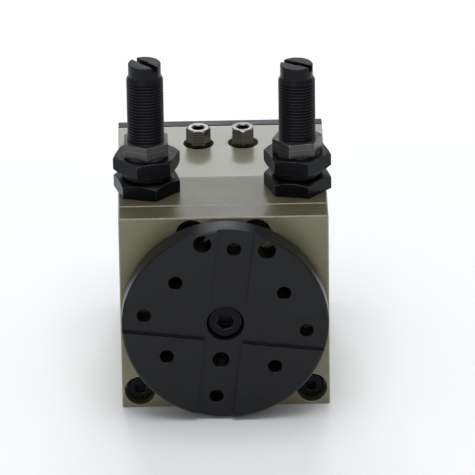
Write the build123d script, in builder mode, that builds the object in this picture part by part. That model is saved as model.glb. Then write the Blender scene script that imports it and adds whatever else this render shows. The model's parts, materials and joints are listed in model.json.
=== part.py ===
"""Rotary pneumatic actuator: a twin rack-and-pinion swivel unit with adjustable end-stop absorbers.

Frame (mm): the origin lies on the output axis, in the floor of the output disc's cross groove.
+X is to the right seen from the front, +Y runs to the rear of the unit and +Z is up.
The unit stands on the flat underside of its housing.
"""

from build123d import *
import math
import os

os.makedirs("parts", exist_ok=True)

# ---------------------------------------------------------------- driving dimensions
body_width = 77.0
base_z = -39.3
top_z = 37.7
face_y = 11.1            # front side of the front plate
plate_y = 22.0           # joint between the front plate and the front housing
seam_y = 47.0            # joint between the front and the rear housing
gasket_y = 93.7          # rear end of the rear housing
cover_y = 94.2           # front side of the rear cover
rear_y = 98.7            # rear side of the rear cover
edge_break = 0.35
mid_z = (top_z + base_z) / 2

rest_turn = -6.9         # output angle at rest, counter-clockwise from mid travel

disc_front_y = -1.5
disc_back_y = 8.0
disc_radius = 38.0
groove_width = 14.0
tap_radius = 2.5         # wall of a tapped M6 hole
tap_chamfer = 0.3
tool_circle = 60.0       # pitch circle of the four holes in the grooves
tool_rect = (40.0, 30.0)
access_radius = 3.35
access_spot = (11.85, 31.6)
locating_radius = 3.0    # locating bore in the lower groove
locating_depth = 9.0
dowel_radius = 2.5       # drive dowel behind it, pressed through the disc into the shaft
dowel_y = (9.2, 17.0)
dowel_offset = 15.0
head_pocket_radius = 6.9
head_y = (1.7, 9.7)      # centre screw: front of the head and its seat
centre_clearance_radius = 4.2

boss_radius = 20.0       # rear boss of the disc, which runs in the seal
boss_end_y = 13.5
spigot_radius = 15.0
spigot_depth = 0.9
seal_radius = 26.0
seal_y = (11.5, 15.5)
seal_end_y = 15.7
flange_room_y = 18.0     # rear end of the room for the shaft flange
plate_bore_radius = 13.0

flange_radius = 19.5     # output shaft, from its flange back to its tail
flange_end_y = 17.6
shaft_shoulder_radius = 11.4
journal_radius = 10.0
arm_seat_radius = 9.0
neck_radius = 6.0
tail_radius = 5.0
tail_end_y = 85.0
shaft_tap_radius = 4.0
shaft_tap_end_y = 35.6
front_ring_radius = 8.4  # grooves of the two snap rings
front_ring_end_y = 43.1
rear_ring_radius = 4.6
rear_ring_y = (82.6, 83.7)
ring_reach = 11.8
front_bearing_y = (22.1, 29.1)
front_bearing_radius = 16.0
front_bore_shoulder = 14.0
rear_bearing_y = (76.5, 82.5)
rear_bearing_radius = 11.0
rear_recess_radius = 12.5
key_width = 5.0
key_height = 3.8
key_base = 7.0
key_end_y = 41.0

gear_module = 0.75
gear_teeth = 16
pitch_radius = gear_module * gear_teeth / 2
pressure_angle = math.radians(20)
gear_y = (58.0, 71.0)
rack_backset = 0.1       # the racks stand this much outside the pitch line
tooth_relief = 0.06      # backlash taken from each flank pair

piston_x = 15.0
piston_y = 64.5
bore_radius = 11.0
bore_top_z = 32.6
piston_radius = 10.7
piston_low = -22.0
piston_high = 22.7
flat_half = 15.6         # half height of the flat that carries the rack teeth
rack_half = 14.2
piston_groove_depth = 1.6
guide_groove_depth = 0.7
seal_band = (19.4, 21.8)
upper_guide = (16.2, 18.2)
lower_guide = (-20.8, -17.4)
crown_radius = 6.0       # hollow in the top of each piston
crown_depth = 2.0
plug_z = (-37.4, -31.9)
plug_groove_z = (-36.0, -33.8)
plug_groove_depth = 1.5
ring_low_z = -38.8
bore_seat_z = -37.6
bore_seat_radius = 11.9

arm_y = (33.9, 41.9)
arm_hub_radius = 13.5
arm_width = 9.2
arm_reach = 33.0
stop_radius = 27.85      # distance from the axis at which the arm meets an absorber
stop_half = 5.5          # from the arm's centre line to the face of a stop pad
pocket_y = 33.1
pocket_radius = 34.5
pocket_top = 6.5
pad_radius = 3.5
pad_stem_radius = 1.5
pad_stem_depth = 3.0

absorber_y = 37.9
absorber_radius = 6.8
absorber_tip_radius = 6.03
absorber_low = 12.0
absorber_top = 87.25
absorber_stroke = 8.0
shoulder_z = (81.0, 82.6)
thread_pitch = 1.2
thread_depth = 0.55
thread_grooves = 20
top_groove_z = 80.35
slot_width = 2.4
slot_depth = 2.0
slot_centre_radius = 1.5
rod_radius = 2.0
rod_bore_radius = 2.08
rod_bore_depth = 50.0
button_radius = 4.2
rod_length = 44.0
sleeve_low = 5.8
sleeve_radius = 8.5
sleeve_collar_radius = 9.1
sleeve_collar_z = 43.9
sleeve_flats = 22.0
sleeve_nut_z = (37.7, 43.25)
sleeve_head_z = (46.5, 52.0)
absorber_nut_z = (52.3, 57.7)
absorber_nut_flats = 16.2

port_x = 8.35
port_y = 77.8
port_pocket_radius = 5.75
port_pocket_z = 34.6
port_top_z = 44.25
port_hex_flats = 8.0
port_stem_radius = 2.5
port_stem_length = 4.6
port_tap_floor = 2.0     # height of the tapped bore's floor above the pocket's floor
port_bore_radius = 2.1   # wall of a tapped M5 hole
drilling_radius = 1.5
channel_radius = 1.25
gallery_z = 27.5
gallery_tap_depth = 6.0

screw_pocket_radius = 5.8
screw_seat_y = 18.5
screw_tip_y = 52.5
screw_head_radius = 4.5
screw_head_height = 5.0
screw_radius = 2.5       # M5 housing screws
screw_clearance_radius = 2.75
cover_screw_radius = 2.0
cover_head_radius = 3.5
cover_sink_radius = 3.9
cover_clearance_radius = 2.1
mount_clearance_radius = 3.3
mount_depth = 10.0
base_mount_depth = 9.0
cap_radius = 9.0
cap_rim_radius = 11.0
cap_sink = 1.5
housing_screw_spots = [(-31.7, -32.4), (31.7, -32.4), (-11.8, 31.0), (11.8, 31.0)]
cover_screw_spots = [(x, mid_z + z) for x in (-33.0, 33.0) for z in (-33.0, 0.0, 33.0)]
rear_mount_spots = [(x, mid_z + z) for x in (-24.0, 24.0) for z in (-24.0, 24.0)]
base_mount_x = 18.0
base_mount_y = (28.0, 88.0)

sides = (("left", -1), ("right", 1))
# how each hexagon is turned on its axis, from a corner at the front towards the right
hex_turns = {
    "left": {"sleeve": -16.6, "sleeve_nut": 15.4, "absorber_nut": 0.0, "port": 30.0},
    "right": {"sleeve": 17.5, "sleeve_nut": 18.0, "absorber_nut": -20.0, "port": 0.0},
}
slot_turns = {"left": -51.0, "right": -31.0}
absorber_lift = {"left": 0.95, "right": -0.45}     # how far each absorber is screwed out


# ---------------------------------------------------------------- planes and shared shapes
def facing(y, turn=0.0):
    """Plane at depth y that looks to the front: local x is +X, local y is +Z, turned about the axis."""
    angle = math.radians(turn)
    return Plane(origin=(0, y, 0), x_dir=(math.cos(angle), 0, math.sin(angle)), z_dir=(0, -1, 0))


def upright(x, y):
    """Vertical plane through (x, y), for sections of (radius, height) about a vertical axis."""
    return Plane(origin=(x, y, 0), x_dir=(1, 0, 0), z_dir=(0, -1, 0))


def swung(x, z):
    """Where a point of the output assembly, given at mid travel, lies at rest."""
    turn = math.radians(rest_turn)
    return x * math.cos(turn) - z * math.sin(turn), x * math.sin(turn) + z * math.cos(turn)


def save(piece, name):
    """Label a finished piece and write it out."""
    piece.part.label = name
    export_step(piece.part, f"parts/{name}.step")


def turned(points):
    """Solid of revolution about the output axis, from (radius, depth) points."""
    with BuildPart() as solid:
        with BuildSketch(Plane.XY):
            with BuildLine():
                Polyline(*points, close=True)
            make_face()
        revolve(axis=Axis.Y)
    return solid.part


def lathed(x, y, points):
    """Solid of revolution about the vertical line through (x, y), from (radius, height) points."""
    with BuildPart() as solid:
        with BuildSketch(upright(x, y)):
            with BuildLine():
                Polyline(*points, close=True)
            make_face()
        revolve(axis=Axis((x, y, 0), (0, 0, 1)))
    return solid.part


def band(inner, outer, low, high):
    """Section of a plain ring."""
    return [(inner, low), (outer, low), (outer, high), (inner, high)]


def hex_prism(x, y, low, high, flats, corner_turn, land_share=0.97, base_cut=False):
    """Upright hexagon whose corners are cut at 30 degrees at the top and, if asked, at the base.

    The cut starts at a round land, given as a share of half the width across flats.
    """
    reach = flats / math.sqrt(3) + 0.2
    land = flats / 2 * land_share
    drop = (reach - land) * math.tan(math.radians(30))
    base = [(0, low), (land, low), (reach, low + drop)] if base_cut else [(0, low), (reach, low)]
    with BuildPart() as prism:
        with BuildSketch(Plane.XY.offset(low)):
            with Locations((x, y)):
                RegularPolygon(flats / 2, 6, major_radius=False, rotation=corner_turn - 90)
        extrude(amount=high - low)
        add(lathed(x, y, base + [(reach, high - drop), (land, high), (0, high)]), mode=Mode.INTERSECT)
    return prism.part


def cap_screw(spot, front_y, seat_y, tip_y, head_radius, shank_radius, socket_flats, turn=0.0):
    """Socket-head screw along Y whose head faces the front."""
    with BuildPart() as screw:
        with BuildSketch(facing(seat_y)):
            with Locations(spot):
                Circle(head_radius)
        extrude(amount=seat_y - front_y)
        chamfer(screw.faces().sort_by(Axis.Y)[0].edges(), length=head_radius * 0.1)
        with BuildSketch(facing(tip_y)):
            with Locations(spot):
                Circle(shank_radius)
        extrude(amount=tip_y - seat_y)
        with BuildSketch(facing(front_y)):
            with Locations(spot):
                RegularPolygon(socket_flats / 2, 6, major_radius=False, rotation=turn)
        extrude(amount=-(seat_y - front_y) * 0.5, mode=Mode.SUBTRACT)
    return screw.part


# ---------------------------------------------------------------- front plate
plate_bore = turned([
    (0, face_y - 1),
    (seal_radius, face_y - 1),
    (seal_radius, seal_end_y),
    (flange_radius + 2, seal_end_y),
    (flange_radius + 2, flange_room_y),
    (plate_bore_radius, flange_room_y),
    (plate_bore_radius, plate_y + 1),
    (0, plate_y + 1),
])

with BuildPart() as front_plate:
    with BuildSketch(facing(plate_y)):
        with Locations((0, mid_z)):
            Rectangle(body_width, top_z - base_z)
    extrude(amount=plate_y - face_y)
    chamfer(front_plate.edges(), length=edge_break)
    add(plate_bore, mode=Mode.SUBTRACT)
    # sunk seats and clearance holes of the housing screws
    with BuildSketch(facing(face_y)):
        with Locations(*housing_screw_spots):
            Circle(screw_pocket_radius)
    extrude(amount=face_y - screw_seat_y, mode=Mode.SUBTRACT)
    with BuildSketch(facing(screw_seat_y)):
        with Locations(*housing_screw_spots):
            Circle(screw_clearance_radius)
    extrude(amount=screw_seat_y - plate_y, mode=Mode.SUBTRACT)
save(front_plate, "front_plate")

# ---------------------------------------------------------------- front housing
bearing_bore = turned([
    (0, plate_y - 1),
    (front_bearing_radius, plate_y - 1),
    (front_bearing_radius, front_bearing_y[1]),
    (front_bore_shoulder, front_bearing_y[1]),
    (front_bore_shoulder, seam_y + 1),
    (0, seam_y + 1),
])

with BuildPart() as front_housing:
    with BuildSketch(facing(seam_y)):
        with Locations((0, mid_z)):
            Rectangle(body_width, top_z - base_z)
    extrude(amount=seam_y - plate_y)
    chamfer(front_housing.edges(), length=edge_break)
    add(bearing_bore, mode=Mode.SUBTRACT)
    # half-round pocket in which the stop arm swings
    with BuildSketch(facing(seam_y)):
        Circle(pocket_radius)
        with Locations((0, pocket_top)):
            Rectangle(body_width, body_width, align=(Align.CENTER, Align.MIN), mode=Mode.SUBTRACT)
        Circle(arm_hub_radius + 2)
    extrude(amount=seam_y - pocket_y, mode=Mode.SUBTRACT)
    # bores for the two stop sleeves, open to the pocket
    with BuildSketch(Plane.XY.offset(top_z)):
        with Locations((-stop_radius, absorber_y), (stop_radius, absorber_y)):
            Circle(sleeve_radius)
    extrude(amount=pocket_top - top_z - 1, mode=Mode.SUBTRACT)
    # clearance holes of the housing screws
    with BuildSketch(facing(plate_y)):
        with Locations(*housing_screw_spots):
            Circle(screw_clearance_radius)
    extrude(amount=plate_y - seam_y, mode=Mode.SUBTRACT)
    # tapped mounting holes in the underside
    with BuildSketch(Plane.XY.offset(base_z)):
        with Locations((-base_mount_x, base_mount_y[0]), (base_mount_x, base_mount_y[0])):
            Circle(port_bore_radius)
    extrude(amount=base_mount_depth, mode=Mode.SUBTRACT)
save(front_housing, "front_housing")

# ---------------------------------------------------------------- rear housing
drive_bore = turned([
    (0, seam_y - 1),
    (arm_seat_radius, seam_y - 1),
    (arm_seat_radius, rear_bearing_y[0]),
    (rear_bearing_radius, rear_bearing_y[0]),
    (rear_bearing_radius, rear_bearing_y[1]),
    (rear_recess_radius, rear_bearing_y[1]),
    (rear_recess_radius, gasket_y + 1),
    (0, gasket_y + 1),
])

with BuildPart() as rear_housing:
    with BuildSketch(facing(gasket_y)):
        with Locations((0, mid_z)):
            Rectangle(body_width, top_z - base_z)
    extrude(amount=gasket_y - seam_y)
    chamfer(rear_housing.edges(), length=edge_break)
    add(drive_bore, mode=Mode.SUBTRACT)
    # piston bores, open to the underside, with a wider seat for the retaining ring
    piston_bore = [
        (0, base_z - 1),
        (bore_seat_radius, base_z - 1),
        (bore_seat_radius, bore_seat_z),
        (bore_radius, bore_seat_z),
        (bore_radius, bore_top_z),
        (0, bore_top_z),
    ]
    for name, side in sides:
        add(lathed(side * piston_x, piston_y, piston_bore), mode=Mode.SUBTRACT)
    # air ports: sunk seat, tapped hole and drilling
    with BuildSketch(Plane.XY.offset(top_z)):
        with Locations((-port_x, port_y), (port_x, port_y)):
            Circle(port_pocket_radius)
    extrude(amount=port_pocket_z - top_z, mode=Mode.SUBTRACT)
    with BuildSketch(Plane.XY.offset(port_pocket_z)):
        with Locations((-port_x, port_y), (port_x, port_y)):
            Circle(port_stem_radius)
    extrude(amount=-port_stem_length - 0.4, mode=Mode.SUBTRACT)
    with BuildSketch(Plane.XY.offset(port_pocket_z)):
        with Locations((-port_x, port_y), (port_x, port_y)):
            Circle(drilling_radius)
    extrude(amount=gallery_z - drilling_radius - 0.5 - port_pocket_z, mode=Mode.SUBTRACT)
    for name, side in sides:
        # slanted channel from the port into the top of the piston bore
        start = Vector(side * port_x, port_y, gallery_z + 4)
        end = Vector(side * 12, port_y - 7.4, gallery_z + 1)
        with BuildSketch(Plane(origin=start, z_dir=end - start)):
            Circle(channel_radius)
        extrude(amount=(end - start).length, mode=Mode.SUBTRACT)
        # gallery to the flank, where a set screw closes it
        with BuildSketch(Plane.YZ.offset(side * body_width / 2)):
            with Locations((port_y, gallery_z)):
                Circle(drilling_radius)
        extrude(amount=side * (port_x - body_width / 2), mode=Mode.SUBTRACT)
        with BuildSketch(Plane.YZ.offset(side * body_width / 2)):
            with Locations((port_y, gallery_z)):
                Circle(port_stem_radius)
        extrude(amount=-side * gallery_tap_depth, mode=Mode.SUBTRACT)
    # tapped holes for the housing screws, the cover screws and the rear mounting
    with BuildSketch(facing(seam_y)):
        with Locations(*housing_screw_spots):
            Circle(screw_radius)
    extrude(amount=seam_y - screw_tip_y - 0.6, mode=Mode.SUBTRACT)
    with BuildSketch(facing(gasket_y)):
        with Locations(*cover_screw_spots):
            Circle(cover_screw_radius)
        with Locations(*rear_mount_spots):
            Circle(tap_radius)
    extrude(amount=mount_depth, mode=Mode.SUBTRACT)
    with BuildSketch(Plane.XY.offset(base_z)):
        with Locations((-base_mount_x, base_mount_y[1]), (base_mount_x, base_mount_y[1])):
            Circle(port_bore_radius)
    extrude(amount=base_mount_depth, mode=Mode.SUBTRACT)
save(rear_housing, "rear_housing")

# ---------------------------------------------------------------- rear cover, its gasket, cap and screws
with BuildPart() as cover_gasket:
    with BuildSketch(facing(cover_y)):
        with Locations((0, mid_z)):
            Rectangle(body_width - 0.6, top_z - base_z - 0.6)
        Circle(rear_recess_radius, mode=Mode.SUBTRACT)
        with Locations(*cover_screw_spots):
            Circle(cover_clearance_radius, mode=Mode.SUBTRACT)
        with Locations(*rear_mount_spots):
            Circle(mount_clearance_radius, mode=Mode.SUBTRACT)
    extrude(amount=cover_y - gasket_y)
save(cover_gasket, "cover_gasket")

cover_screw_seat = rear_y - 3.6
with BuildPart() as rear_cover:
    with BuildSketch(facing(rear_y)):
        with Locations((0, mid_z)):
            Rectangle(body_width, top_z - base_z)
        Circle(cap_radius, mode=Mode.SUBTRACT)
        with Locations(*cover_screw_spots):
            Circle(cover_clearance_radius, mode=Mode.SUBTRACT)
        with Locations(*rear_mount_spots):
            Circle(mount_clearance_radius, mode=Mode.SUBTRACT)
    extrude(amount=rear_y - cover_y)
    chamfer(rear_cover.edges().filter_by(Axis.Y).filter_by(GeomType.LINE), length=edge_break)
    chamfer(rear_cover.faces().sort_by(Axis.Y)[-1].outer_wire().edges(), length=edge_break)
    with BuildSketch(facing(rear_y)):
        Circle(cap_rim_radius)
    extrude(amount=cap_sink, mode=Mode.SUBTRACT)
    with BuildSketch(facing(rear_y)):
        with Locations(*cover_screw_spots):
            Circle(cover_sink_radius)
    extrude(amount=rear_y - cover_screw_seat, mode=Mode.SUBTRACT)
save(rear_cover, "rear_cover")

with BuildPart() as axis_cap:
    add(turned([
        (0, cover_y),
        (cap_radius - 1.5, cover_y),
        (cap_radius, cover_y + 1),
        (cap_radius, rear_y - cap_sink),
        (cap_rim_radius - 0.1, rear_y - cap_sink),
        (cap_rim_radius - 0.1, rear_y - 0.5),
        (cap_rim_radius - 0.6, rear_y),
        (6, rear_y),
        (5.5, rear_y - 0.6),
        (0, rear_y - 0.6),
    ]))
save(axis_cap, "axis_cap")

with BuildPart() as cover_screws:
    for spot in cover_screw_spots:
        with BuildSketch(facing(rear_y - 0.4)):
            with Locations(spot):
                Circle(cover_head_radius)
                RegularPolygon(1.5, 6, major_radius=False, mode=Mode.SUBTRACT)
        extrude(amount=2)
        with BuildSketch(facing(rear_y - 2.4)):
            with Locations(spot):
                Circle(cover_head_radius)
        extrude(amount=1.2)
        with BuildSketch(facing(cover_screw_seat)):
            with Locations(spot):
                Circle(cover_screw_radius)
        extrude(amount=cover_screw_seat - gasket_y + 8)
save(cover_screws, "cover_screws")

with BuildPart() as housing_screws:
    for spot in housing_screw_spots:
        add(cap_screw(spot, screw_seat_y - screw_head_height, screw_seat_y, screw_tip_y,
                      screw_head_radius, screw_radius, socket_flats=4.2, turn=12))
save(housing_screws, "housing_screws")

with BuildPart() as gallery_plugs:
    for name, side in sides:
        with BuildSketch(Plane.YZ.offset(side * (body_width / 2 - 0.4))):
            with Locations((port_y, gallery_z)):
                Circle(port_stem_radius)
        extrude(amount=-side * 4)
        with BuildSketch(Plane.YZ.offset(side * (body_width / 2 - 0.4))):
            with Locations((port_y, gallery_z)):
                RegularPolygon(1.25, 6, major_radius=False)
        extrude(amount=-side * 2, mode=Mode.SUBTRACT)
save(gallery_plugs, "gallery_plugs")

# ---------------------------------------------------------------- output disc and its fixings
with BuildPart() as output_disc:
    add(turned([
        (0, disc_front_y),
        (disc_radius - 0.6, disc_front_y),
        (disc_radius, disc_front_y + 0.6),
        (disc_radius, disc_back_y - 0.5),
        (disc_radius - 0.5, disc_back_y),
        (boss_radius, disc_back_y),
        (boss_radius, boss_end_y),
        (spigot_radius, boss_end_y),
        (spigot_radius, boss_end_y - spigot_depth),
        (0, boss_end_y - spigot_depth),
    ]))
    # cross groove
    with BuildSketch(facing(disc_front_y, rest_turn)):
        Rectangle(2 * disc_radius + 2, groove_width)
        Rectangle(groove_width, 2 * disc_radius + 2)
    extrude(amount=disc_front_y, mode=Mode.SUBTRACT)
    # tapped holes in the grooves and the quadrants, and two openings for a screwdriver
    with BuildSketch(facing(disc_front_y, rest_turn)):
        with PolarLocations(tool_circle / 2, 4):
            Circle(tap_radius)
        with GridLocations(*tool_rect, 2, 2):
            Circle(tap_radius)
        with Locations((-access_spot[0], access_spot[1]), access_spot):
            Circle(access_radius)
    extrude(amount=disc_front_y - disc_back_y, mode=Mode.SUBTRACT)
    # seat of the centre screw, the locating bore and the hole of the drive dowel behind it
    with BuildSketch(facing(disc_front_y, rest_turn)):
        Circle(head_pocket_radius)
    extrude(amount=disc_front_y - head_y[1], mode=Mode.SUBTRACT)
    with BuildSketch(facing(disc_front_y, rest_turn)):
        with Locations((0, -dowel_offset)):
            Circle(locating_radius)
    extrude(amount=disc_front_y - locating_depth, mode=Mode.SUBTRACT)
    with BuildSketch(facing(disc_front_y, rest_turn)):
        Circle(centre_clearance_radius)
        with Locations((0, -dowel_offset)):
            Circle(dowel_radius)
    extrude(amount=disc_front_y - boss_end_y, mode=Mode.SUBTRACT)
    round_edges = output_disc.edges().filter_by(GeomType.CIRCLE)
    mouths = round_edges.filter_by(lambda e: e.center().Y < 0.1 and e.radius < access_radius - 0.1)
    chamfer(mouths, length=tap_chamfer)
save(output_disc, "output_disc")

with BuildPart() as centre_screw:
    add(cap_screw((0, 0), *head_y, tip_y=34, head_radius=6.5, shank_radius=shaft_tap_radius,
                  socket_flats=6.0, turn=9))
save(centre_screw, "centre_screw")

with BuildPart() as disc_dowel:
    with BuildSketch(facing(dowel_y[1])):
        with Locations(swung(0, -dowel_offset)):
            Circle(dowel_radius)
    extrude(amount=dowel_y[1] - dowel_y[0])
    fillet(disc_dowel.faces().sort_by(Axis.Y)[0].edges(), radius=1.1)
save(disc_dowel, "disc_dowel")

# ---------------------------------------------------------------- output shaft with its pinion
base_circle = pitch_radius * math.cos(pressure_angle)
tooth_tip = pitch_radius + gear_module
tooth_root = pitch_radius - 1.25 * gear_module


def half_tooth(radius):
    """Half of a tooth's angle at this radius, on an involute flank."""
    def involute(r):
        pressure = math.acos(base_circle / r)
        return math.tan(pressure) - pressure
    at_pitch = math.pi / (2 * gear_teeth) - tooth_relief / (2 * pitch_radius)
    return at_pitch + involute(pitch_radius) - involute(radius)


def polar(radius, angle):
    """Plane point from a radius and an angle in radians."""
    return radius * math.cos(angle), radius * math.sin(angle)


flank_radii = [base_circle + (tooth_tip - base_circle) * i / 4 for i in range(5)]
flank = [polar(r, half_tooth(r)) for r in flank_radii]
foot = polar(tooth_root - 0.2, half_tooth(base_circle))
tooth_outline = [foot] + flank + [(x, -y) for x, y in reversed(flank)] + [(foot[0], -foot[1])]

with BuildPart() as output_shaft:
    add(turned([
        (0, boss_end_y - spigot_depth),
        (spigot_radius, boss_end_y - spigot_depth),
        (spigot_radius, boss_end_y),
        (flange_radius, boss_end_y),
        (flange_radius, flange_end_y),
        (shaft_shoulder_radius, flange_end_y),
        (shaft_shoulder_radius, front_bearing_y[0]),
        (journal_radius, front_bearing_y[0]),
        (journal_radius, arm_y[0]),
        (arm_seat_radius, arm_y[0]),
        (arm_seat_radius, arm_y[1]),
        (front_ring_radius, arm_y[1]),
        (front_ring_radius, front_ring_end_y),
        (arm_seat_radius, front_ring_end_y),
        (arm_seat_radius, front_ring_end_y + 1.4),
        (neck_radius, front_ring_end_y + 1.4),
        (neck_radius, gear_y[0]),
        (tooth_root, gear_y[0]),
        (tooth_root, gear_y[1]),
        (tail_radius, gear_y[1]),
        (tail_radius, rear_ring_y[0]),
        (rear_ring_radius, rear_ring_y[0]),
        (rear_ring_radius, rear_ring_y[1]),
        (tail_radius, rear_ring_y[1]),
        (tail_radius, tail_end_y - 0.5),
        (tail_radius - 0.5, tail_end_y),
        (0, tail_end_y),
    ]))
    # pinion: at mid travel a gap faces each rack
    with BuildSketch(facing(gear_y[1], rest_turn)):
        with PolarLocations(0, gear_teeth, start_angle=180 / gear_teeth):
            Polygon(*tooth_outline, align=None)
    extrude(amount=gear_y[1] - gear_y[0])
    # tapped hole of the centre screw and the hole of the drive dowel
    with BuildSketch(facing(shaft_tap_end_y)):
        Circle(shaft_tap_radius)
    extrude(amount=shaft_tap_end_y - boss_end_y + spigot_depth, mode=Mode.SUBTRACT)
    with BuildSketch(facing(dowel_y[1], rest_turn)):
        with Locations((0, -dowel_offset)):
            Circle(dowel_radius)
    extrude(amount=dowel_y[1] - boss_end_y + spigot_depth, mode=Mode.SUBTRACT)
    # keyway for the stop arm
    with BuildSketch(facing(key_end_y, rest_turn)):
        with Locations((0, key_base)):
            Rectangle(key_width, arm_seat_radius, align=(Align.CENTER, Align.MIN))
    extrude(amount=key_end_y - arm_y[0] - 0.6, mode=Mode.SUBTRACT)
save(output_shaft, "output_shaft")


def pad_seat(side):
    """Plane on one flank of the stop arm, where it meets the absorber."""
    x, z = swung(side * arm_width / 2, -stop_radius)
    out_x, out_z = swung(side, 0)
    return Plane(origin=(x, sum(arm_y) / 2, z), x_dir=(0, 1, 0), z_dir=(out_x, 0, out_z))


with BuildPart() as stop_arm:
    with BuildSketch(facing(arm_y[1], rest_turn)):
        Circle(arm_hub_radius)
        Rectangle(arm_width, arm_reach, align=(Align.CENTER, Align.MAX))
        Circle(arm_seat_radius, mode=Mode.SUBTRACT)
        with Locations((0, key_base)):
            Rectangle(key_width, key_height, align=(Align.CENTER, Align.MIN), mode=Mode.SUBTRACT)
    extrude(amount=arm_y[1] - arm_y[0])
    chamfer(stop_arm.faces().sort_by(Axis.Y)[0].outer_wire().edges(), length=0.5)
    for name, side in sides:
        with BuildSketch(pad_seat(side)):
            Circle(pad_stem_radius)
        extrude(amount=-pad_stem_depth, mode=Mode.SUBTRACT)
save(stop_arm, "stop_arm")

with BuildPart() as stop_pads:
    for name, side in sides:
        with BuildSketch(pad_seat(side)):
            Circle(pad_radius)
        extrude(amount=stop_half - arm_width / 2)
        with BuildSketch(pad_seat(side)):
            Circle(pad_stem_radius)
        extrude(amount=-pad_stem_depth)
save(stop_pads, "stop_pads")

with BuildPart() as arm_key:
    with BuildSketch(facing(key_end_y, rest_turn)):
        with Locations((0, key_base)):
            Rectangle(key_width, key_height, align=(Align.CENTER, Align.MIN))
    extrude(amount=key_end_y - arm_y[0] - 0.6)
save(arm_key, "arm_key")

with BuildPart() as shaft_rings:
    add(turned(band(front_ring_radius, ring_reach, arm_y[1], front_ring_end_y)))
    add(turned(band(rear_ring_radius, tail_radius + 1.8, *rear_ring_y)))
    # the rings are open at the top
    with BuildSketch(facing(tail_end_y)):
        with Locations((0, journal_radius)):
            Rectangle(3, 8)
    extrude(amount=tail_end_y - arm_y[0], mode=Mode.SUBTRACT)
save(shaft_rings, "shaft_rings")

with BuildPart() as bearing_spacer:
    add(turned(band(journal_radius, ring_reach, front_bearing_y[1], arm_y[0])))
save(bearing_spacer, "bearing_spacer")

with BuildPart() as shaft_seal:
    add(turned([
        (boss_radius + 0.06, seal_y[0] + 1.1),
        (boss_radius + 0.8, seal_y[0]),
        (seal_radius, seal_y[0]),
        (seal_radius, seal_y[1]),
        (seal_radius - 1.1, seal_y[1]),
        (seal_radius - 1.1, seal_y[0] + 1.3),
        (boss_radius + 1.6, seal_y[0] + 1.3),
        (boss_radius + 0.9, seal_y[0] + 1.8),
    ]))
save(shaft_seal, "shaft_seal")

# ---------------------------------------------------------------- ball bearings
race_play = 0.1
cage_half_width = 0.5
bearings = {
    "front": {"y": front_bearing_y, "inner": journal_radius, "outer": front_bearing_radius,
              "ball": 1.75, "count": 12},
    "rear": {"y": rear_bearing_y, "inner": tail_radius, "outer": rear_bearing_radius,
             "ball": 1.6, "count": 9},
}
for place, size in bearings.items():
    middle_y = sum(size["y"]) / 2
    track = (size["inner"] + size["outer"]) / 2
    ball = size["ball"]
    land = ball * 0.62
    with BuildPart() as inner_race:
        add(turned(band(size["inner"], track - land, *size["y"])))
        with BuildSketch(Plane.XY):
            with Locations((track, middle_y)):
                Circle(ball + race_play)
        revolve(axis=Axis.Y, mode=Mode.SUBTRACT)
    save(inner_race, f"{place}_bearing_inner")
    with BuildPart() as outer_race:
        add(turned(band(track + land, size["outer"], *size["y"])))
        with BuildSketch(Plane.XY):
            with Locations((track, middle_y)):
                Circle(ball + race_play)
        revolve(axis=Axis.Y, mode=Mode.SUBTRACT)
    save(outer_race, f"{place}_bearing_outer")
    ball_turns = [2 * math.pi * (i + 0.3) / size["count"] for i in range(size["count"])]
    ball_spots = [(track * math.cos(turn), middle_y, track * math.sin(turn)) for turn in ball_turns]
    with BuildPart() as balls:
        with Locations(*ball_spots):
            Sphere(ball)
    save(balls, f"{place}_bearing_balls")
    # cage: a ring on each side of the balls and a bar in each gap between them
    cage_half = ball + 0.6
    cage_inner = track - cage_half_width
    cage_outer = track + cage_half_width
    first_gap = math.degrees(ball_turns[0]) + 180 / size["count"]
    with BuildPart() as cage:
        add(turned(band(cage_inner, cage_outer, middle_y - cage_half, middle_y - ball - race_play)))
        add(turned(band(cage_inner, cage_outer, middle_y + ball + race_play, middle_y + cage_half)))
        with BuildSketch(facing(middle_y + cage_half)):
            with PolarLocations(track, size["count"], start_angle=first_gap):
                Rectangle(2 * cage_half_width, 1.2)
        extrude(amount=2 * cage_half)
    save(cage, f"{place}_bearing_cage")

# ---------------------------------------------------------------- rack pistons
rack_line = pitch_radius + rack_backset
rack_pitch = math.pi * gear_module
gap_count = int(rack_half / rack_pitch)
quarter = rack_pitch / 4
slope = math.tan(pressure_angle)
tip_x = rack_line - gear_module
root_x = rack_line + 1.25 * gear_module
gap_at_tip = quarter + tooth_relief / 2 + gear_module * slope
gap_at_root = quarter + tooth_relief / 2 - 1.25 * gear_module * slope
rest_lift = pitch_radius * math.radians(-rest_turn)

seal_groove_radius = piston_radius - piston_groove_depth
guide_groove_radius = piston_radius - guide_groove_depth
piston_outline = [
    (0, piston_low),
    (piston_radius - 0.5, piston_low),
    (piston_radius, piston_low + 0.5),
    (piston_radius, lower_guide[0]),
    (guide_groove_radius, lower_guide[0]),
    (guide_groove_radius, lower_guide[1]),
    (piston_radius, lower_guide[1]),
    (piston_radius, upper_guide[0]),
    (guide_groove_radius, upper_guide[0]),
    (guide_groove_radius, upper_guide[1]),
    (piston_radius, upper_guide[1]),
    (piston_radius, seal_band[0]),
    (seal_groove_radius, seal_band[0]),
    (seal_groove_radius, seal_band[1]),
    (piston_radius, seal_band[1]),
    (piston_radius, piston_high - 0.5),
    (piston_radius - 0.5, piston_high),
    (crown_radius, piston_high),
    (crown_radius, piston_high - crown_depth),
    (0, piston_high - crown_depth),
]


def raised(points, lift):
    """(radius, height) points moved up by lift."""
    return [(radius, height + lift) for radius, height in points]


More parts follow.
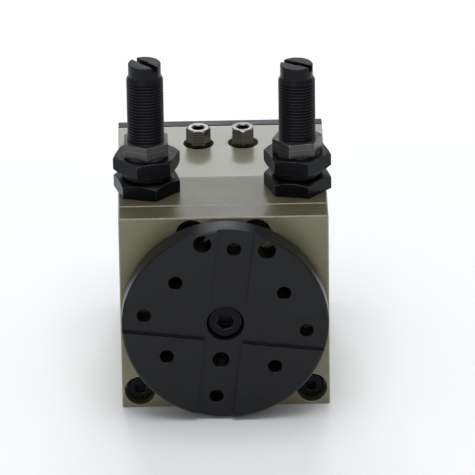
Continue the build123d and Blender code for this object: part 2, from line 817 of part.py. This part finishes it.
for name, side in sides:
    lift = -side * rest_lift
    x = side * piston_x
    with BuildPart() as piston:
        add(lathed(x, piston_y, raised(piston_outline, lift)))
        # flat towards the pinion, then the gaps between the rack teeth
        with BuildSketch(facing(piston_y + piston_radius)):
            with Locations((side * tip_x, lift)):
                Rectangle(2 * piston_radius, 2 * flat_half,
                          align=(Align.MAX if side > 0 else Align.MIN, Align.CENTER))
            for gap in range(-gap_count, gap_count):
                z = lift + (gap + 0.5) * rack_pitch
                Polygon((side * (tip_x - 0.2), z - gap_at_tip), (side * root_x, z - gap_at_root),
                        (side * root_x, z + gap_at_root), (side * (tip_x - 0.2), z + gap_at_tip), align=None)
        extrude(amount=2 * piston_radius, mode=Mode.SUBTRACT)
    save(piston, f"rack_piston_{name}")
    with BuildPart() as seals:
        seal_ring = band(seal_groove_radius, bore_radius - 0.05, *seal_band)
        add(lathed(x, piston_y, raised(seal_ring, lift)))
    save(seals, f"piston_seal_{name}")
    with BuildPart() as guides:
        for guide in (upper_guide, lower_guide):
            guide_ring = band(guide_groove_radius, bore_radius - 0.07, *guide)
            add(lathed(x, piston_y, raised(guide_ring, lift)))
    save(guides, f"guide_rings_{name}")

with BuildPart() as bore_plugs:
    for name, side in sides:
        add(lathed(side * piston_x, piston_y, [
            (0, plug_z[0] + crown_depth),
            (crown_radius, plug_z[0] + crown_depth),
            (crown_radius, plug_z[0]),
            (bore_radius, plug_z[0]),
            (bore_radius, plug_groove_z[0]),
            (bore_radius - plug_groove_depth, plug_groove_z[0]),
            (bore_radius - plug_groove_depth, plug_groove_z[1]),
            (bore_radius, plug_groove_z[1]),
            (bore_radius, plug_z[1]),
            (0, plug_z[1]),
        ]))
save(bore_plugs, "bore_plugs")

with BuildPart() as plug_seals:
    for name, side in sides:
        seal_ring = band(bore_radius - plug_groove_depth, bore_radius, *plug_groove_z)
        add(lathed(side * piston_x, piston_y, seal_ring))
save(plug_seals, "plug_seals")

with BuildPart() as plug_rings:
    for name, side in sides:
        snap_ring = band(bore_radius - 1.4, bore_seat_radius, ring_low_z, bore_seat_z)
        add(lathed(side * piston_x, piston_y, snap_ring))
        with BuildSketch(Plane.XY.offset(base_z)):
            with Locations((side * piston_x, piston_y - bore_radius)):
                Rectangle(5, 5)
        extrude(amount=2, mode=Mode.SUBTRACT)
save(plug_rings, "plug_rings")

# ---------------------------------------------------------------- stop sleeves and absorbers
thread_root = absorber_radius - thread_depth
thread = []
for i in reversed(range(thread_grooves)):
    z = top_groove_z - i * thread_pitch
    thread += [
        (absorber_radius, z - thread_pitch * 0.42),
        (thread_root, z - 0.08),
        (thread_root, z + 0.08),
        (absorber_radius, z + thread_pitch * 0.42),
    ]
absorber_foot = [
    (0, absorber_low),
    (absorber_radius - 0.5, absorber_low),
    (absorber_radius, absorber_low + 0.5),
]
absorber_head = [
    (absorber_radius, shoulder_z[0]),
    (absorber_tip_radius, shoulder_z[1]),
    (absorber_tip_radius, absorber_top - 0.25),
    (absorber_tip_radius - 0.25, absorber_top),
    (0, absorber_top),
]
absorber_outline = absorber_foot + thread + absorber_head

for name, side in sides:
    turns = hex_turns[name]
    lift = absorber_lift[name]
    x = side * stop_radius
    with BuildPart() as sleeve:
        add(hex_prism(x, absorber_y, *sleeve_head_z, sleeve_flats, turns["sleeve"],
                      land_share=1.04, base_cut=True))
        add(lathed(x, absorber_y, [
            (0, sleeve_low),
            (sleeve_radius, sleeve_low),
            (sleeve_radius, sleeve_collar_z),
            (sleeve_collar_radius, sleeve_collar_z),
            (sleeve_collar_radius, sleeve_head_z[0]),
            (sleeve_collar_radius - 0.5, sleeve_head_z[1] - 1),
            (sleeve_collar_radius - 0.9, absorber_nut_z[0]),
            (0, absorber_nut_z[0]),
        ]))
        with BuildSketch(Plane.XY.offset(absorber_nut_z[0])):
            with Locations((x, absorber_y)):
                Circle(absorber_radius + 0.05)
        extrude(amount=sleeve_low - absorber_nut_z[0], mode=Mode.SUBTRACT)
    save(sleeve, f"stop_sleeve_{name}")

    with BuildPart() as sleeve_nut:
        add(hex_prism(x, absorber_y, *sleeve_nut_z, sleeve_flats, turns["sleeve_nut"]))
        with BuildSketch(Plane.XY.offset(sleeve_nut_z[0])):
            with Locations((x, absorber_y)):
                Circle(sleeve_radius)
        extrude(amount=sleeve_nut_z[1] - sleeve_nut_z[0], mode=Mode.SUBTRACT)
    save(sleeve_nut, f"sleeve_nut_{name}")

    with BuildPart() as absorber_nut:
        add(hex_prism(x, absorber_y, *absorber_nut_z, absorber_nut_flats, turns["absorber_nut"],
                      land_share=1.1))
        with BuildSketch(Plane.XY.offset(absorber_nut_z[0])):
            with Locations((x, absorber_y)):
                Circle(absorber_radius)
        extrude(amount=absorber_nut_z[1] - absorber_nut_z[0], mode=Mode.SUBTRACT)
    save(absorber_nut, f"absorber_nut_{name}")

    with BuildPart() as absorber:
        add(lathed(x, absorber_y, raised(absorber_outline, lift)))
        # guide bore of the plunger rod
        with BuildSketch(Plane.XY.offset(absorber_low + lift)):
            with Locations((x, absorber_y)):
                Circle(rod_bore_radius)
        extrude(amount=rod_bore_depth, mode=Mode.SUBTRACT)
        # setting slot across the top, round in the middle
        with BuildSketch(Plane.XY.offset(absorber_top + lift)):
            with Locations(Location((x, absorber_y, 0), (0, 0, slot_turns[name]))):
                Rectangle(3 * absorber_radius, slot_width)
                Circle(slot_centre_radius)
        extrude(amount=-slot_depth, mode=Mode.SUBTRACT)
    save(absorber, f"absorber_{name}")

    # the plunger is fully in with the arm on its own stop and fully out with the arm on the other
    travel = (90 - side * rest_turn) / 180
    tip = sleeve_low - absorber_stroke * travel
    with BuildPart() as plunger:
        add(lathed(x, absorber_y, raised([
            (0, 0),
            (button_radius - 0.8, 0),
            (button_radius, 0.8),
            (button_radius, 4),
            (rod_radius, 4),
            (rod_radius, rod_length),
            (0, rod_length),
        ], tip)))
    save(plunger, f"absorber_plunger_{name}")

    # air fitting: a hexagon with a tapped bore, screwed into the port
    with BuildPart() as fitting:
        add(hex_prism(side * port_x, port_y, port_pocket_z, port_top_z, port_hex_flats, turns["port"]))
        add(lathed(side * port_x, port_y, raised([
            (0, 0),
            (port_stem_radius, 0),
            (port_stem_radius, 0.4 - port_stem_length),
            (port_stem_radius - 0.4, -port_stem_length),
            (0, -port_stem_length),
        ], port_pocket_z)))
        add(lathed(side * port_x, port_y, [
            (0, port_pocket_z - port_stem_length - 0.4),
            (channel_radius, port_pocket_z - port_stem_length - 0.4),
            (channel_radius, port_pocket_z + port_tap_floor),
            (port_bore_radius, port_pocket_z + port_tap_floor),
            (port_bore_radius, port_top_z - 0.45),
            (port_bore_radius + 0.45, port_top_z),
            (0, port_top_z),
        ]), mode=Mode.SUBTRACT)
    save(fitting, f"port_fitting_{name}")
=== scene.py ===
import json
import math

import bmesh
import bpy
from mathutils import Matrix, Vector


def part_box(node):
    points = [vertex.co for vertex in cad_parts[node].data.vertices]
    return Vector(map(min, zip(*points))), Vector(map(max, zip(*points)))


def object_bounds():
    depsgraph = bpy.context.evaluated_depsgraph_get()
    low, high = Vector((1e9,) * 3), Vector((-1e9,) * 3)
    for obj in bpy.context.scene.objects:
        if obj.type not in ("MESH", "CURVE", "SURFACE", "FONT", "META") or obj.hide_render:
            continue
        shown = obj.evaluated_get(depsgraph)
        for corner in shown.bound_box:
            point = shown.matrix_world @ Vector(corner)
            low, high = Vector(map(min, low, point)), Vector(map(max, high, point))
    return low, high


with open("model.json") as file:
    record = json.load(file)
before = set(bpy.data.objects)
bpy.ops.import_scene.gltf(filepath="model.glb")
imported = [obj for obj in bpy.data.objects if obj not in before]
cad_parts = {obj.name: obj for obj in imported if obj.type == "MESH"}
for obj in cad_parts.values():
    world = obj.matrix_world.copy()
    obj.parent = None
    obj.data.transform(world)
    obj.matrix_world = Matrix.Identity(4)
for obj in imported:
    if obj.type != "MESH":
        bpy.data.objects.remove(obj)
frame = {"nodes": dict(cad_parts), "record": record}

cad_box = [list(corner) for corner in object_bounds()]
scene = bpy.context.scene
MM = 0.001

# ---------------------------------------------------------------- camera
camera_azimuth = math.radians(-0.624)
camera_elevation = math.radians(25.113)
camera_roll = math.radians(0.837)
camera_distance = 2154.6 * MM
camera_target = Vector((4.917, -1.5, 35.406)) * MM
camera_lens = 448.727
camera_sensor = 36.0


def look_from(azimuth, elevation, roll, distance, target):
    """World matrix of a camera that looks at the target: azimuth 0 is in front, roll is about the view."""
    outward = Vector((math.sin(azimuth) * math.cos(elevation),
                      -math.cos(azimuth) * math.cos(elevation),
                      math.sin(elevation)))
    right = (-outward).cross(Vector((0, 0, 1))).normalized()
    up = right.cross(-outward)
    x_axis = right * math.cos(roll) - up * math.sin(roll)
    y_axis = up * math.cos(roll) + right * math.sin(roll)
    turn = Matrix((x_axis, y_axis, outward)).transposed().to_4x4()
    return Matrix.Translation(target + outward * distance) @ turn


camera = bpy.data.objects.new("camera", bpy.data.cameras.new("camera"))
camera.data.lens = camera_lens
camera.data.sensor_width = camera_sensor
camera.data.clip_start = 0.05
camera.data.clip_end = 30.0
camera.matrix_world = look_from(camera_azimuth, camera_elevation, camera_roll, camera_distance, camera_target)
scene.collection.objects.link(camera)
scene.camera = camera
scene.view_settings.view_transform = "Standard"

# ---------------------------------------------------------------- studio
warm_white = (1.0, 0.99, 0.98)
fill_white = (1.0, 0.98, 0.94)
cool_white = (0.96, 0.98, 1.0)
sky_white = (0.93, 0.96, 1.0)
sky_strength = 0.43

world = bpy.data.worlds.new("studio")
world.use_nodes = True
sky = world.node_tree.nodes["Background"]
sky.inputs["Color"].default_value = (*sky_white, 1.0)
sky.inputs["Strength"].default_value = sky_strength
scene.world = world


def softbox(name, place, aim, width, height, watts, tint, lights=True, reflects=True):
    """Rectangular area light at a place, aimed at a point; it may light, be mirrored in surfaces, or both."""
    light = bpy.data.lights.new(name, "AREA")
    light.shape = "RECTANGLE"
    light.size = width
    light.size_y = height
    light.energy = watts
    light.color = tint
    lamp = bpy.data.objects.new(name, light)
    lamp.location = place
    lamp.rotation_euler = (Vector(aim) - Vector(place)).to_track_quat("-Z", "Y").to_euler()
    lamp.visible_diffuse = lights
    lamp.visible_glossy = reflects
    scene.collection.objects.link(lamp)


centre = Vector((0.0, 0.045, 0.0))
port_spot = (0.0, 0.078, 0.0377)  # between the two ports, on the top
above = (0.0, -0.1, 1.5)
behind = (0.0, 1.7, 0.85)  # the camera sees this place mirrored in the top
near_behind = (0.0, 0.45, 0.200)
front_left = (-0.7, -1.6, 0.9)

softbox("overhead", above, centre, 1.1, 1.3, 13.9, warm_white)
softbox("rear_key", behind, centre, 0.8, 0.9, 18.0, cool_white, reflects=False)
softbox("rear_glow", behind, centre, 2.2, 0.9, 4.6, sky_white, lights=False)
softbox("rear_spot", near_behind, port_spot, 0.11, 0.03, 0.07, sky_white, lights=False)
softbox("front_fill", front_left, centre, 0.9, 0.9, 1.9, fill_white)

# ---------------------------------------------------------------- material tools
class Shade:
    """Builds the node tree of one material around its Principled shader."""

    def __init__(self, name):
        self.material = bpy.data.materials.new(name)
        self.material.use_nodes = True
        self.tree = self.material.node_tree
        self.shader = self.tree.nodes["Principled BSDF"]
        self.coords = self.add("TexCoord").outputs["Object"]

    def add(self, kind, inputs=None, **settings):
        node = self.tree.nodes.new("ShaderNode" + kind)
        for key, value in settings.items():
            setattr(node, key, value)
        for socket, value in (inputs or {}).items():
            if isinstance(value, bpy.types.NodeSocket):
                self.tree.links.new(value, node.inputs[socket])
            else:
                node.inputs[socket].default_value = value
        return node

    def math(self, operation, a, b=0.0, clamp=False):
        return self.add("Math", {0: a, 1: b}, operation=operation, use_clamp=clamp).outputs[0]

    def mapped(self, value, low, high, to_low, to_high):
        return self.add("MapRange", {"Value": value, "From Min": low, "From Max": high,
                                     "To Min": to_low, "To Max": to_high}).outputs[0]

    def noise(self, scale, detail=2.0, roughness=0.5, vector=None):
        return self.add("TexNoise", {"Vector": vector or self.coords, "Scale": scale, "Detail": detail,
                                     "Roughness": roughness}).outputs["Fac"]

    def stretched(self, factors):
        return self.add("VectorMath", {0: self.coords, 1: factors}, operation="MULTIPLY").outputs[0]

    def rings(self, axis, centre, scale, detail=3.0):
        """Lathe lines: rings on the faces across an axis through a point, and bands along the sides."""
        side_tilt = 0.3
        face_tilt = 0.8
        across = tuple(0.0 if axis == letter else 1.0 for letter in "XYZ")
        along = tuple(1.0 - share for share in across)
        shifted = self.add("VectorMath", {0: self.coords, 1: tuple(centre)}, operation="SUBTRACT").outputs[0]
        flat = self.add("VectorMath", {0: shifted, 1: across}, operation="MULTIPLY").outputs[0]
        radius = self.add("VectorMath", {0: flat}, operation="LENGTH").outputs["Value"]
        height = self.add("VectorMath", {0: shifted, 1: along}, operation="DOT_PRODUCT").outputs["Value"]
        on_faces, on_sides = (self.add("TexNoise", {"W": value, "Scale": scale, "Detail": detail},
                                       noise_dimensions="1D").outputs["Fac"] for value in (radius, height))
        normal = self.add("NewGeometry").outputs["Normal"]
        tilt = self.add("VectorMath", {0: normal, 1: along}, operation="DOT_PRODUCT").outputs["Value"]
        share = self.mapped(self.math("ABSOLUTE", tilt), side_tilt, face_tilt, 0.0, 1.0)
        change = self.math("MULTIPLY", self.math("SUBTRACT", on_faces, on_sides), share)
        return self.math("ADD", on_sides, change)

    def blend(self, factor, a, b):
        node = self.add("Mix", data_type="RGBA")
        for socket, value in ((0, factor), (6, a), (7, b)):
            if isinstance(value, bpy.types.NodeSocket):
                self.tree.links.new(value, node.inputs[socket])
            elif socket == 0:
                node.inputs[socket].default_value = value
            else:
                node.inputs[socket].default_value = (*value, 1.0)
        return node.outputs[2]

    def edges(self, radius):
        """(normal rounded at edges, mask that is 1 on edges)."""
        flat_dot = 0.985  # from here on the rounded and the plain normal agree: no edge
        edge_dot = 0.80
        rounded = self.add("Bevel", {"Radius": radius}, samples=6).outputs["Normal"]
        plain = self.add("NewGeometry").outputs["Normal"]
        dot = self.add("VectorMath", {0: rounded, 1: plain}, operation="DOT_PRODUCT").outputs["Value"]
        return rounded, self.mapped(dot, flat_dot, edge_dot, 0.0, 1.0)

    def connect(self, socket, value):
        if isinstance(value, bpy.types.NodeSocket):
            self.tree.links.new(value, self.shader.inputs[socket])
        else:
            self.shader.inputs[socket].default_value = value

    def bump(self, height, strength, distance, normal):
        return self.add("Bump", {"Height": height, "Strength": strength, "Distance": distance,
                                 "Normal": normal}).outputs["Normal"]


def finish_material(name, tint, deep, edge_wear_and_highlight_tint, metallic, rough, edge_wear_and_highlight_share=0.6, edge=0.25 * MM, lines=None,
                    brushed=None, coat=0.0, coat_rough=0.2, specular=0.5, top_shade=0.0):
    """A machined or treated metal: mottled tint, fine grain, lathe or brush lines, edges painted lighter as
    partly wear and partly painted highlight, and where asked painted shade on upward faces.
    """
    mottle_scale = 55.0
    grain_scale = 3500.0
    grain_height = 0.006 * MM
    grain_share = 0.35
    edge_patch_scale = 420.0
    scuff_polish = 0.08  # how much smoother the lighter edges are
    rough_half_spread = 0.06
    ring_height = 1.6
    ring_share = 0.30
    streak_height = 1.2
    streak_share = 0.22
    bright_metal = 0.7  # above this share of metal, lathe lines show light instead of dark
    top_shade_tone = 0.35  # painted shade: tone that upward faces darken to, as a share of the deep tint

    shade = Shade(name)
    rounded, mask = shade.edges(edge)
    mottle = shade.noise(mottle_scale, 4.0, 0.6)
    speck = shade.noise(grain_scale, 2.0)
    colour = shade.blend(shade.mapped(mottle, 0.32, 0.68, 0.0, 1.0), deep, tint)
    colour = shade.blend(shade.mapped(speck, 0.35, 0.75, 0.0, grain_share), colour, deep)
    # painted shade: upward faces are darkened, standing in for shade on the tops
    if top_shade:
        normal = shade.add("NewGeometry").outputs["Normal"]
        upward = shade.add("SeparateXYZ", {0: normal}).outputs["Z"]
        shaded = [top_shade_tone * channel for channel in deep]
        colour = shade.blend(shade.mapped(upward, 0.5, 0.95, 0.0, top_shade), colour, shaded)
    # edges painted lighter: partly wear, partly painted highlight
    patches = shade.mapped(shade.noise(edge_patch_scale, 3.0), 0.3, 0.62, 0.15, edge_wear_and_highlight_share)
    edge_wear_and_highlight_mask = shade.math("MULTIPLY", mask, patches, True)
    colour = shade.blend(edge_wear_and_highlight_mask, colour, edge_wear_and_highlight_tint)
    height = speck
    texture = shade.mapped(mottle, 0.3, 0.7, rough - rough_half_spread, rough + rough_half_spread)
    if lines:
        ring = shade.rings(*lines)
        ring_tone = edge_wear_and_highlight_tint if metallic > bright_metal else deep
        height = shade.math("ADD", height, shade.math("MULTIPLY", ring, ring_height))
        texture = shade.math("ADD", texture, shade.mapped(ring, 0.3, 0.7, -0.05, 0.05), True)
        colour = shade.blend(shade.mapped(ring, 0.35, 0.75, 0.0, ring_share), colour, ring_tone)
    if brushed:
        streak = shade.noise(1.0, 3.0, 0.6, shade.stretched(brushed))
        height = shade.math("ADD", height, shade.math("MULTIPLY", streak, streak_height))
        texture = shade.math("ADD", texture, shade.mapped(streak, 0.3, 0.7, -0.05, 0.06), True)
        colour = shade.blend(shade.mapped(streak, 0.35, 0.75, 0.0, streak_share), colour, deep)
    texture = shade.math("SUBTRACT", texture, shade.math("MULTIPLY", edge_wear_and_highlight_mask, scuff_polish), True)
    shade.connect("Base Color", colour)
    shade.connect("Metallic", metallic)
    shade.connect("Roughness", texture)
    shade.connect("Specular IOR Level", specular)
    shade.connect("Normal", shade.bump(height, 0.6, grain_height, rounded))
    if coat:
        shade.connect("Coat Weight", coat)
        shade.connect("Coat Roughness", coat_rough)
    return shade.material


def soft_material(name, tint, deep, rough):
    """Rubber or filled polymer: dull, faintly mottled, with a fine moulded grain."""
    mottle_scale = 140.0
    grain_scale = 2600.0
    grain_height = 0.01 * MM
    edge = 0.2 * MM
    edge_share = 0.2
    edge_gain = 1.8
    rough_half_spread = 0.08

    shade = Shade(name)
    rounded, mask = shade.edges(edge)
    mottle = shade.noise(mottle_scale, 4.0)
    speck = shade.noise(grain_scale, 3.0)
    colour = shade.blend(shade.mapped(mottle, 0.3, 0.7, 0.0, 1.0), deep, tint)
    # edges lighter than the rest of the surface
    lighter_edge_tint = [min(1.0, edge_gain * channel) for channel in tint]
    colour = shade.blend(shade.math("MULTIPLY", mask, edge_share), colour, lighter_edge_tint)
    shade.connect("Base Color", colour)
    texture = shade.mapped(speck, 0.3, 0.7, rough - rough_half_spread, rough + rough_half_spread)
    shade.connect("Roughness", texture)
    shade.connect("Normal", shade.bump(speck, 0.5, grain_height, rounded))
    return shade.material


# ---------------------------------------------------------------- finishes
output_axis = (0.0, 0.0, 0.0)
upright_line_scale = 2600.0
output_line_scale = 900.0
brush_scales = (70.0, 1500.0, 1500.0)  # long streaks along X


def middle(node):
    low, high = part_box(node)
    return (low + high) / 2


# olive: strong painted shade on upward faces; its light edges are partly wear, partly painted highlight
olive = dict(
    tint=(0.226, 0.212, 0.119), deep=(0.192, 0.180, 0.101), edge_wear_and_highlight_tint=(0.66, 0.65, 0.58),
    metallic=0.12, rough=0.38, edge_wear_and_highlight_share=1.3, edge=0.5 * MM, coat=0.38, coat_rough=0.28, top_shade=0.9,
)
# rear olive: only a little painted shade on upward faces
rear_olive = dict(
    olive, tint=(0.225, 0.218, 0.152), deep=(0.192, 0.186, 0.130), coat=0.75, top_shade=0.1,
)
black = dict(
    tint=(0.0088, 0.0094, 0.0116), deep=(0.006, 0.0064, 0.008), edge_wear_and_highlight_tint=(0.07, 0.075, 0.09),
    metallic=0.2, rough=0.34, edge_wear_and_highlight_share=0.5, specular=0.32,
)
# oxide: its light edges are partly wear, partly painted highlight
oxide = dict(
    tint=(0.0055, 0.0060, 0.0080), deep=(0.0035, 0.0038, 0.005), edge_wear_and_highlight_tint=(0.17, 0.18, 0.21),
    metallic=0.3, rough=0.34, edge_wear_and_highlight_share=1.0, edge=0.4 * MM, specular=0.17,
)
absorber_oxide = dict(
    oxide, tint=(0.008, 0.0085, 0.0108), deep=(0.0045, 0.0048, 0.0062), edge_wear_and_highlight_tint=(0.05, 0.053, 0.064),
    edge_wear_and_highlight_share=0.4, edge=0.2 * MM, specular=0.24,
)
phosphate = dict(
    tint=(0.066, 0.066, 0.065), deep=(0.045, 0.045, 0.044), edge_wear_and_highlight_tint=(0.42, 0.41, 0.39),
    metallic=0.75, rough=0.38, edge_wear_and_highlight_share=0.8, specular=0.35,
)
# nickel: tint darkened as a painted dark reflection; its light edges are partly wear, partly painted
# highlight
plated_with_painted_reflection = dict(
    tint=(0.125, 0.117, 0.102), deep=(0.078, 0.073, 0.063), edge_wear_and_highlight_tint=(0.92, 0.90, 0.86),
    metallic=1.0, rough=0.22, edge_wear_and_highlight_share=0.8,
)
ground = dict(
    tint=(0.52, 0.52, 0.53), deep=(0.38, 0.38, 0.39), edge_wear_and_highlight_tint=(0.78, 0.78, 0.79),
    metallic=1.0, rough=0.30, edge_wear_and_highlight_share=0.6,
)
chromed = dict(
    tint=(0.66, 0.67, 0.69), deep=(0.52, 0.53, 0.55), edge_wear_and_highlight_tint=(0.86, 0.87, 0.88),
    metallic=1.0, rough=0.14, edge_wear_and_highlight_share=0.4,
)
turned_aluminium = dict(
    tint=(0.66, 0.66, 0.67), deep=(0.50, 0.50, 0.51), edge_wear_and_highlight_tint=(0.86, 0.86, 0.87),
    metallic=1.0, rough=0.32, edge_wear_and_highlight_share=0.6,
)
rubber = dict(tint=(0.022, 0.022, 0.023), deep=(0.012, 0.012, 0.013), rough=0.62)
polymer = dict(tint=(0.045, 0.05, 0.056), deep=(0.030, 0.033, 0.038), rough=0.45)

metal_recipes = {
    "olive_anodised": olive,
    "black_anodised": black,
    "black_oxide": oxide,
    "grey_steel": phosphate,
    "nickel": plated_with_painted_reflection,
    "steel": ground,
    "hard_chrome": chromed,
    "aluminium": turned_aluminium,
}
soft_recipes = {"rubber": rubber, "polymer": polymer}
own_recipes = {
    "rear_housing": rear_olive,
    "absorber_left": absorber_oxide,
    "absorber_right": absorber_oxide,
}
upright_nodes = (
    "stop_sleeve", "sleeve_nut", "absorber", "port_fitting", "rack_piston", "bore_plugs", "plug_rings",
)
slot_of = {part["node"]: part["material_slot"] for part in frame["record"]["subparts"]}


def material_of(name, slot):
    """The finish of one CAD node, with lathe lines about its own axis or brushed along X."""
    if slot in soft_recipes:
        return soft_material("mat_" + name, **soft_recipes[slot])
    recipe = own_recipes.get(name, metal_recipes[slot])
    if slot == "olive_anodised":
        return finish_material("mat_" + name, brushed=brush_scales, **recipe)
    if name.startswith(upright_nodes):
        lines = ("Z", middle(name), upright_line_scale)
    else:
        lines = ("Y", output_axis, output_line_scale)
    return finish_material("mat_" + name, lines=lines, **recipe)


for name, node in frame["nodes"].items():
    material = material_of(name, slot_of[name])
    for holder in node.material_slots:
        holder.material = material

# ---------------------------------------------------------------- floor
floor_half = 6.0
floor_cells = 12
floor_mesh = bmesh.new()
bmesh.ops.create_grid(floor_mesh, x_segments=floor_cells, y_segments=floor_cells, size=floor_half)
floor_data = bpy.data.meshes.new("studio_floor")
floor_mesh.to_mesh(floor_data)
floor_mesh.free()
floor = bpy.data.objects.new("studio_floor", floor_data)
floor.location = (0, 0, cad_box[0][2])
scene.collection.objects.link(floor)
floor_shade = Shade("mat_studio_floor")
floor_pale = (0.88, 0.885, 0.89)
floor_cloud = (0.86, 0.87, 0.88)
floor_tone = floor_shade.mapped(floor_shade.noise(3.0, 2.0), 0.3, 0.7, 0.0, 1.0)
floor_shade.connect("Base Color", floor_shade.blend(floor_tone, floor_cloud, floor_pale))
floor_shade.connect("Roughness", 0.6)
floor_shade.connect("Specular IOR Level", 0.2)
floor_data.materials.append(floor_shade.material)
